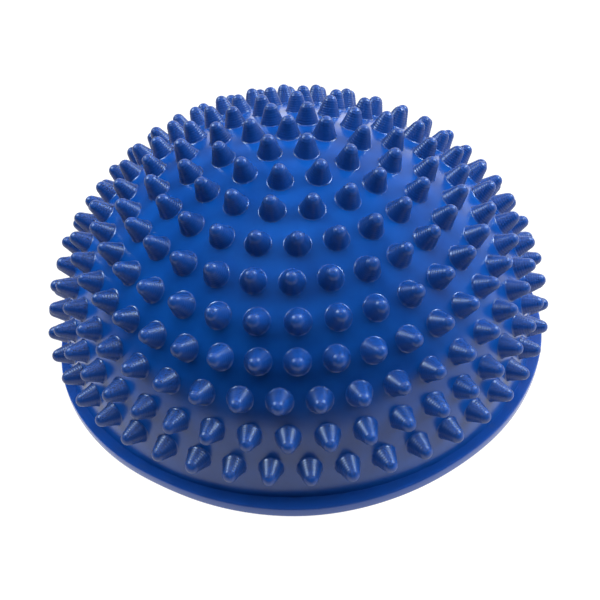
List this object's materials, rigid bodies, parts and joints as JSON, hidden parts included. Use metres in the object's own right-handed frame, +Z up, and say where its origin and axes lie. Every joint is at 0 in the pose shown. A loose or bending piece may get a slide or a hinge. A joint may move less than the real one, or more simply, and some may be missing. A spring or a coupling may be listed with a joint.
{
  "type": "spiked balance dome trainer",
  "caption": "Hollow air-filled half-ball with blunt spikes all over, flat rim and underside valve, for balance and foot massage.",
  "frame": {"origin": "middle of the flat underside, on the surface the pod stands on", "axes": "+Z up through the crown; -Y is the front; +X to the right seen from the front"},
  "size_m": [0.1615, 0.1615, 0.0754],
  "materials": {
    "blue_pvc": "glossy soft PVC, fine turning rings on the spikes",
    "valve_collar_pvc": "satin moulded PVC",
    "valve_plug_plastic": "satin moulded polythene"
  },
  "bodies": {
    "dome": {"dome_shell": "blue_pvc", "valve_collar": "valve_collar_pvc"},
    "plug": {"valve_plug": "valve_plug_plastic"}
  },
  "joints": [
    {"name": "plug_pull", "type": "slide", "parent": "dome", "child": "plug", "axis": [0, 0, -1], "range_m": [0, 0.025]}
  ]
}
